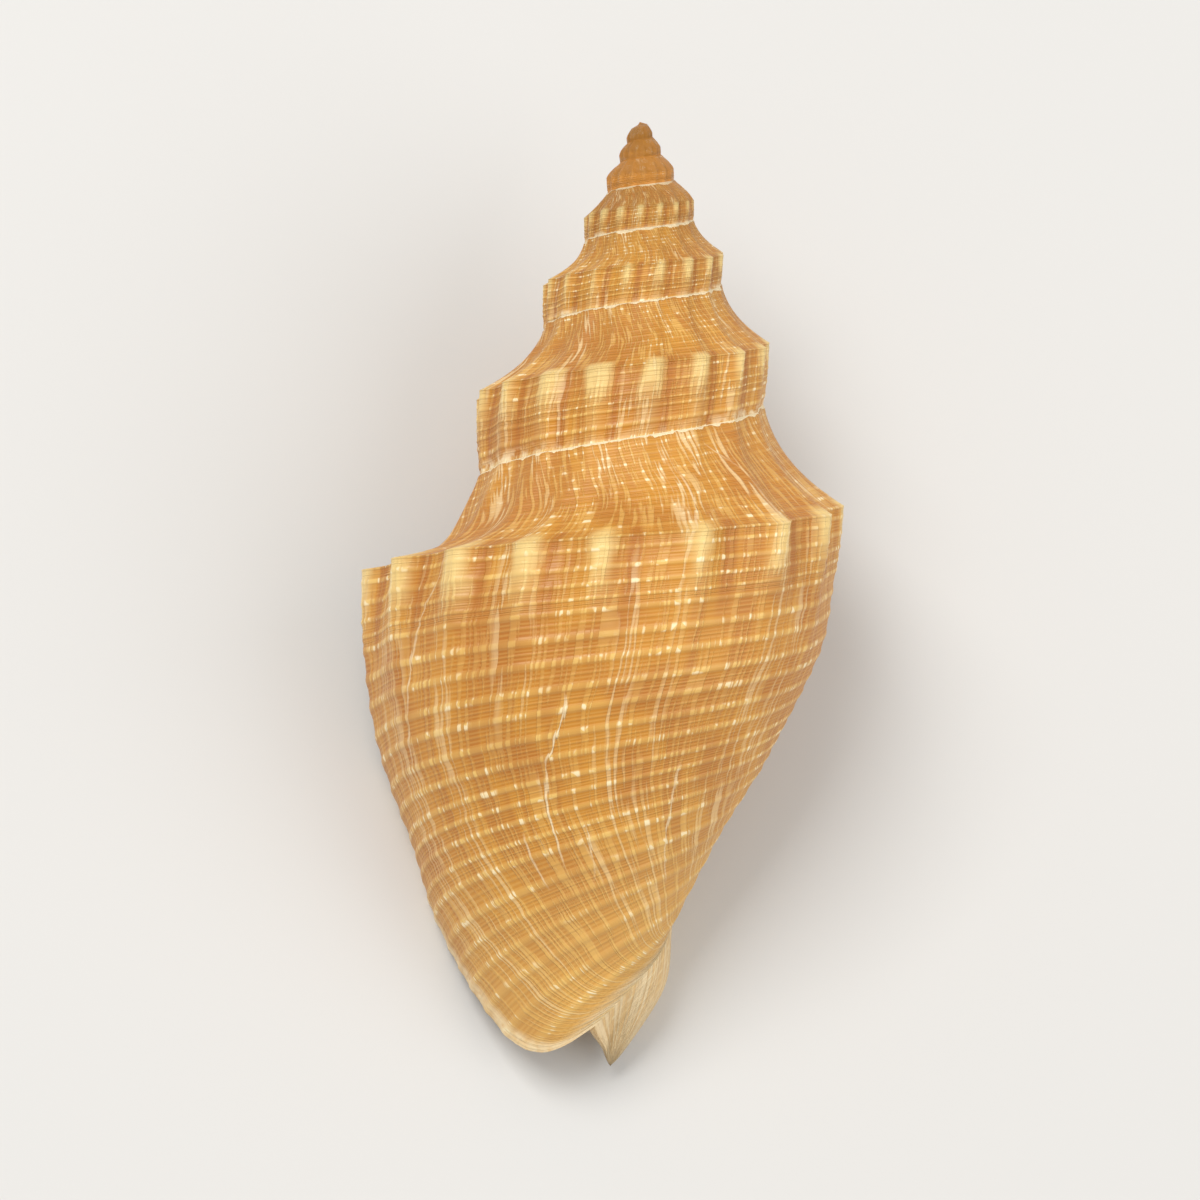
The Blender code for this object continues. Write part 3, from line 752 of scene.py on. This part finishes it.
def aragonite(colours, sizes):
    """Outer layer of aragonite: satin, honey in its grooves, cream on cords and knobs, white where worn;
    painted shade by the knobs, painted glints on beads.
    """
    material, tree, surface = new_material("Aragonite outer layer")
    node = functools.partial(add, tree)
    smooth = {"interpolation_type": "SMOOTHSTEP"}
    stage, count, ribs, ahead = (
        node("SeparateXYZ", (node("UVMap", uv_map=name),)) for name in ("growth", "cords", "ribs", "scars"))
    station, depth, reach, plain = (first.node.outputs[1] for first in (stage, count, ribs, ahead))
    place = node("TexCoord", output=3)

    # Growth lines, a quarter millimetre apart on the last turn, wander a little and gather into bands.
    wander = node("TexNoise", {"Vector": place, "Scale": 1.0 / (2.0 * MM), "Detail": 2.0})
    line = node("Math", (stage, float(sizes.growth_lines)), operation="MULTIPLY")
    line = node("Math", (wander, 1.6, line), operation="MULTIPLY_ADD")
    along = node("Math", (count, 0.3), operation="MULTIPLY")
    lines = node("CombineXYZ", (line, along, 0.0))
    stria = node("TexNoise", {"Vector": lines, "Scale": 0.9, "Detail": 1.0}, noise_dimensions="2D")
    stria = node("MapRange", (stria, 0.46, 0.62, 0.0, 1.0), **smooth)
    band = node("TexNoise", {"Vector": lines, "Scale": 0.13, "Detail": 2.0}, noise_dimensions="2D")
    bundle = node("MapRange", (band, 0.52, 0.66, 0.0, 1.0), **smooth)
    ramp = node("MapRange", (station, 1.0, 0.85, 0.0, 1.0), **smooth)

    # Main cords, the weaker cords between them and five fine threads in each gap.
    apart = node("Math", (count, 0.5), operation="PINGPONG")
    cord = node("MapRange", (apart, 0.22, 0.07, 0.0, 1.0), **smooth)
    weak = node("MapRange", (apart, 0.41, 0.49, 0.0, 1.0), **smooth)
    thread = node("Math", (node("Math", (count, 6.0), operation="MULTIPLY"), 0.5), operation="PINGPONG")
    thread = node("MapRange", (thread, 0.35, 0.1, 0.0, 1.0), **smooth)
    patch = node("TexNoise", {"Vector": place, "Scale": 1.0 / (3.0 * MM), "Detail": 2.0})
    worn = node("MapRange", (patch, 0.3, 0.65, 0.6, 1.1), **smooth)
    bead = node("Math", (stria, 0.6, 0.4), operation="MULTIPLY_ADD")
    cream = node("Math", (node("Math", (cord, bead), operation="MULTIPLY"), worn), operation="MULTIPLY")
    cream = node("Math", (cream, node("MapRange", (ramp, 0.0, 1.0, 1.0, 0.6))), operation="MULTIPLY")
    cream = node("Math", (cream, node("Math", (weak, node("Math", (bead, 0.5), operation="MULTIPLY")),
                                      operation="MULTIPLY")), operation="MAXIMUM")
    cream = node("Math", (cream, node("Math", (thread, 0.22), operation="MULTIPLY")), operation="MAXIMUM")
    fine = node("Math", (node("MapRange", (ramp, 0.0, 1.0, 0.28, 0.5)),
                         node("MapRange", (depth, 1.0, 1.6, 0.0, 0.25), **smooth)), operation="ADD")
    fine = node("Math", (fine, stria), operation="MULTIPLY")
    cream = node("Math", (cream, fine), operation="MAXIMUM")

    # Knobs, and the steep groove on the older side of each, where shade is painted in. A crest is at 0.5,
    # its groove at 0.17.
    turned = node("Math", (node("Math", (ribs, 0.5), operation="ADD"),), operation="FRACT")
    knob = node("Math", (node("Math", (turned, 0.53), operation="SUBTRACT"),), operation="ABSOLUTE")
    knob = node("Math", (patch, 0.5, knob), operation="MULTIPLY_ADD")
    knob = node("MapRange", (knob, 0.5, 0.3, 0.0, 1.0), **smooth)
    knob = node("Math", (knob, node("MapRange", (reach, 0.45, 0.97, 0.0, 1.0), **smooth)),
                operation="MULTIPLY")
    low = node("Math", (depth, node("Math", (stria, 0.06), operation="MULTIPLY")), operation="SUBTRACT")
    knob = node("Math", (knob, node("MapRange", (low, 0.03, 0.28, 0.85, 0.2), **smooth)),
                operation="MULTIPLY")
    gap = node("Math", (node("Math", (turned, 0.17), operation="SUBTRACT"),), operation="ABSOLUTE")
    gap = node("MapRange", (gap, 0.16, 0.03, 0.0, 1.0), **smooth)
    gap = node("Math", (gap, node("MapRange", (reach, 0.2, 0.8, 0.0, 0.85), **smooth)),
               operation="MULTIPLY")

    # Darker patches at random and along bundles of growth lines, plus painted shade in the groove beside
    # each knob.
    dark_patches_and_groove_shade = node("MapRange", (patch, 0.36, 0.62, 0.72, 0.0), **smooth)
    dark_patches_and_groove_shade = node("Math", (dark_patches_and_groove_shade, node("MapRange", (band, 0.5, 0.34, 0.0, 0.6), **smooth)),
                operation="MAXIMUM")
    dark_patches_and_groove_shade = node("Math", (dark_patches_and_groove_shade, gap), operation="MAXIMUM")
    # The cream is dimmed where the groove's shade is painted.
    pale = node("Math", (cream, node("MapRange", (gap, 0.0, 1.0, 1.0, 0.5))), operation="MULTIPLY")
    colour = node("Mix", {0: dark_patches_and_groove_shade, 6: (*colours.groove, 1.0), 7: (*colours.deep, 1.0)}, 2, data_type="RGBA")
    colour = node("Mix", {0: pale, 6: colour, 7: (*colours.cord, 1.0)}, 2, data_type="RGBA")
    base = node("MapRange", (depth, 1.0, 2.0, 0.0, 0.4), **smooth)
    colour = node("Mix", {0: base, 6: colour, 7: (*colours.cord, 1.0)}, 2, data_type="RGBA")
    colour = node("Mix", {0: knob, 6: colour, 7: (*colours.nodule, 1.0)}, 2, data_type="RGBA")
    first = node("MapRange", (stage, -3.0, -3.6, 0.0, 0.9), **smooth)
    colour = node("Mix", {0: first, 6: colour, 7: (*colours.apex, 1.0)}, 2, data_type="RGBA")

    # White: bundles of growth lines, scars, the suture's thin frosted line, the lip and the pillar's folds.
    white = node("Math", (bundle, stria), operation="MULTIPLY")
    white = node("Math", (white, node("MapRange", (ramp, 0.0, 1.0, 0.25, 0.42))), operation="MULTIPLY")
    scar = node("Math", (stria, 0.09, ahead), operation="MULTIPLY_ADD")
    scar = node("Math", (wander, 0.3, scar), operation="MULTIPLY_ADD")
    scar = node("Math", (node("Math", (scar, 0.2), operation="SUBTRACT"),), operation="ABSOLUTE")
    scar = node("Math", (node("MapRange", (scar, 0.1, 0.03, 0.0, 0.85), **smooth), plain),
                operation="MULTIPLY")
    scar = node("Math", (scar, node("MapRange", (patch, 0.35, 0.6, 0.35, 1.0))), operation="MULTIPLY")
    white = node("Math", (white, scar), operation="MAXIMUM")
    frost = node("TexNoise", {"Vector": place, "Scale": 1.0 / (0.5 * MM), "Detail": 3.0})
    ragged = node("Math", (1.4, node("Math", (stage, -1.0), operation="MULTIPLY")), operation="POWER")
    ragged = node("Math", (ragged, node("MapRange", (stage, -3.0, -3.4, 4.0, 0.0))), operation="MINIMUM")
    ragged = node("Math", (node("MapRange", (frost, 0.3, 0.7, 0.006, 0.05)), ragged), operation="MULTIPLY")
    suture = node("Math", (station, ragged), operation="LESS_THAN")
    white = node("Math", (white, suture), operation="MAXIMUM")
    covered = node("Math", (stage, (LIP_AZIMUTH - 360.0) / 360.0), operation="LESS_THAN")
    sides = node("Math", (node("Math", (stage, math.tau), operation="MULTIPLY"),), operation="SINE")
    sides = node("MapRange", (node("Math", (sides,), operation="ABSOLUTE"), 0.4, 0.95, 0.2, 0.9), **smooth)
    above = node("MapRange", (station, 1.8, 1.99, 0.0, 1.0), **smooth)
    above = node("Math", (above, node("MapRange", (frost, 0.4, 0.62, 0.0, 1.0), **smooth)),
                 operation="MULTIPLY")
    above = node("Math", (node("Math", (above, sides), operation="MULTIPLY"), covered),
                 operation="MULTIPLY")
    white = node("Math", (white, above), operation="MAXIMUM")
    lip = LIP_AZIMUTH / 360.0
    edge = node("Math", (stage, node("MapRange", (depth, 1.0, 1.7, 0.0, 0.011))), operation="ADD")
    edge = node("MapRange", (edge, lip - 0.018, lip - 0.001, 0.0, 0.75), **smooth)
    edge = node("Math", (edge, node("MapRange", (frost, 0.35, 0.6, 0.55, 1.0), **smooth)),
                operation="MULTIPLY")
    white = node("Math", (white, edge), operation="MAXIMUM")
    corner = node("MapRange", (stage, lip - 0.045, lip - 0.02, 0.0, 0.8), **smooth)
    tip = node("Math", (node("Math", (depth, 0.05), operation="SUBTRACT"),), operation="ABSOLUTE")
    corner = node("Math", (corner, node("MapRange", (tip, 0.13, 0.04, 0.0, 1.0), **smooth)),
                  operation="MULTIPLY")
    white = node("Math", (white, corner), operation="MAXIMUM")
    band_white = node("MapRange", (station, 2.94, 2.99, 0.0, 1.0), **smooth)
    lamella = node("CombineXYZ", (node("Math", (along, 3.0, line), operation="MULTIPLY_ADD"), along, 7.0))
    lamella = node("TexNoise", {"Vector": lamella, "Scale": 0.36, "Detail": 2.5}, noise_dimensions="2D")
    lamella = node("Math", (node("MapRange", (lamella, 0.38, 0.62, 0.35, 0.78), **smooth), band_white),
                   operation="MULTIPLY")
    white = node("Math", (white, lamella), operation="MAXIMUM")
    white = node("Math", (white, node("MapRange", (first, 0.0, 0.9, 1.0, 0.0))), operation="MULTIPLY")
    colour = node("Mix", {0: white, 6: colour, 7: (*colours.chalk, 1.0)}, 2, data_type="RGBA")

    # Beads where a growth line crosses a cord are polished, and on some of them a glint is painted in as a
    # highlight.
    painted_glints = node("TexNoise", {"Vector": place, "Scale": 1.0 / (0.35 * MM), "Detail": 0.0})
    painted_glints = node("MapRange", (painted_glints, 0.54, 0.66, 0.0, 0.9), **smooth)
    painted_glints = node("Math", (node("Math", (painted_glints, cord), operation="MULTIPLY"), stria), operation="MULTIPLY")
    painted_glints = node("Math", (painted_glints, node("MapRange", (patch, 0.38, 0.56, 0.0, 1.0), **smooth)),
                operation="MULTIPLY")
    colour = node("Mix", {0: painted_glints, 6: colour, 7: (*colours.glint, 1.0)}, 2, data_type="RGBA")
    tree.links.new(colour, surface.inputs["Base Color"])

    rough = node("MapRange", (cream, 0.0, 1.0, 0.48, 0.34))
    rough = node("Mix", {0: first, 2: rough, 3: 0.2})
    rough = node("Mix", {0: white, 2: rough, 3: 0.6})
    tree.links.new(rough, surface.inputs["Roughness"])
    surface.inputs["IOR"].default_value = ARAGONITE_IOR

    height = node("Math", (cord, 0.45), operation="MULTIPLY")
    height = node("Math", (stria, 0.35, height), operation="MULTIPLY_ADD")
    height = node("Math", (weak, 0.25, height), operation="MULTIPLY_ADD")
    height = node("Math", (thread, 0.05, height), operation="MULTIPLY_ADD")
    height = node("Math", (scar, 0.4, height), operation="MULTIPLY_ADD")
    height = node("Math", (lamella, 1.0, height), operation="MULTIPLY_ADD")
    height = node("Math", (frost, node("Math", (white, 0.5), operation="MULTIPLY"), height),
                  operation="MULTIPLY_ADD")
    bumps = node("Bump", {"Strength": 1.0, "Distance": 0.06 * MM, "Height": height})
    tree.links.new(bumps, surface.inputs["Normal"])
    return material


def porcelain(colours):
    """Inner layer of aragonite, smooth as porcelain: glossy and pale, with faint clouds."""
    material, tree, surface = new_material("Aragonite inner layer")
    clouds = add(tree, "TexNoise", {"Vector": add(tree, "TexCoord", output=3), "Scale": 1.0 / (5.0 * MM),
                                    "Detail": 3.0})
    colour = add(tree, "Mix", {0: clouds, 6: (*colours.inside, 1.0), 7: (*colours.cord, 1.0)}, 2,
                 data_type="RGBA")
    tree.links.new(colour, surface.inputs["Base Color"])
    surface.inputs["Roughness"].default_value = 0.25
    surface.inputs["IOR"].default_value = ARAGONITE_IOR
    return material


class SEASHELL_OT_shell(bpy.types.Operator):
    """Grow the shell, close it, lay it on its opening and give it its two layers"""
    bl_idname = "seashell.shell"
    bl_label = "Shell"

    def execute(self, context):
        sizes, colours = context.scene.seashell_sizes, context.scene.seashell_colours
        layers = aragonite(colours, sizes), porcelain(colours)
        sheets = grow_sheets(sizes)
        for sheet in sheets:
            for layer in layers:
                sheet.data.materials.append(layer)
        shell = join_sheets(sheets)
        shell.name = shell.data.name = "shell_grown"
        thin_out(shell)
        lay_down(shell)
        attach(shell, "root")
        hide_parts(NODE)
        return {"FINISHED"}


def photo_frame():
    """Place and turn of the photo's middle over the shell, as the camera's own matrix."""
    right = (PHOTO_MIDDLE[0] - PHOTO_APEX[0]) * PHOTO_PIXEL * MM
    up = (PHOTO_APEX[1] - PHOTO_MIDDLE[1]) * PHOTO_PIXEL * MM
    distance = PHOTO_SIZE * PHOTO_PIXEL * MM * LENS / SENSOR
    view = Matrix.Rotation(math.radians(PHOTO_TURN), 4, "Z") @ Matrix.Translation((right, up, distance))
    return laid() @ view


class SEASHELL_OT_stage(bpy.types.Operator):
    """Set the floor, the lights and the camera"""
    bl_idname = "seashell.stage"
    bl_label = "Stage"

    def execute(self, context):
        look = context.scene.seashell_stage
        bpy.ops.object.select_all(action="DESELECT")
        bpy.ops.mesh.primitive_plane_add(size=FLOOR_SIZE)
        floor = context.object
        floor.name = "floor"
        material, _, surface = new_material("Pale floor")
        surface.inputs["Base Color"].default_value = (*look.floor, 1.0)
        surface.inputs["Roughness"].default_value = FLOOR_ROUGHNESS
        floor.data.materials.append(material)
        view = photo_frame()
        for name, place, power, size in (("Key", KEY_PLACE, look.key_power, KEY_SIZE),
                                         ("Fill", FILL_PLACE, look.fill_power, FILL_SIZE)):
            bpy.ops.object.light_add(type="AREA", location=place)
            light = context.object
            light.name = name
            light.data.energy = power
            light.data.size = size
            light.rotation_euler = Vector(place).to_track_quat("Z", "Y").to_euler()
        world = bpy.data.worlds.new("Studio")
        world.use_nodes = True
        world.node_tree.nodes["Background"].inputs["Color"].default_value = (1.0, 1.0, 1.0, 1.0)
        world.node_tree.nodes["Background"].inputs["Strength"].default_value = look.surround
        context.scene.world = world
        context.scene.view_settings.view_transform = "Standard"
        bpy.ops.object.camera_add()
        camera = context.object
        camera.matrix_world = view
        camera.data.lens = LENS
        camera.data.sensor_width = SENSOR
        context.scene.camera = camera
        return {"FINISHED"}


class SEASHELL_PT_panel(bpy.types.Panel):
    """Sizes, colours and steps of the sea snail shell"""
    bl_idname = "SEASHELL_PT_panel"
    bl_label = "Sea Snail Shell"
    bl_space_type = "VIEW_3D"
    bl_region_type = "UI"
    bl_category = "Sea Snail Shell"

    def draw(self, context):
        scene = context.scene
        for group in (scene.seashell_sizes, scene.seashell_colours, scene.seashell_stage):
            box = self.layout.box()
            for name in group.__annotations__:
                box.prop(group, name)
        self.layout.operator(SEASHELL_OT_shell.bl_idname)
        self.layout.operator(SEASHELL_OT_stage.bl_idname)


CLASSES = (ShellSizes, ShellColours, StageLook, SEASHELL_OT_shell, SEASHELL_OT_stage, SEASHELL_PT_panel)


def register():
    for item in CLASSES:
        bpy.utils.register_class(item)
    bpy.types.Scene.seashell_sizes = bpy.props.PointerProperty(type=ShellSizes)
    bpy.types.Scene.seashell_colours = bpy.props.PointerProperty(type=ShellColours)
    bpy.types.Scene.seashell_stage = bpy.props.PointerProperty(type=StageLook)


def unregister():
    del bpy.types.Scene.seashell_stage
    del bpy.types.Scene.seashell_colours
    del bpy.types.Scene.seashell_sizes
    for item in reversed(CLASSES):
        bpy.utils.unregister_class(item)


def main():
    register()
    bpy.ops.seashell.shell()
    bpy.ops.seashell.stage()
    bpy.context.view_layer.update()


if __name__ == "__main__":
    main()
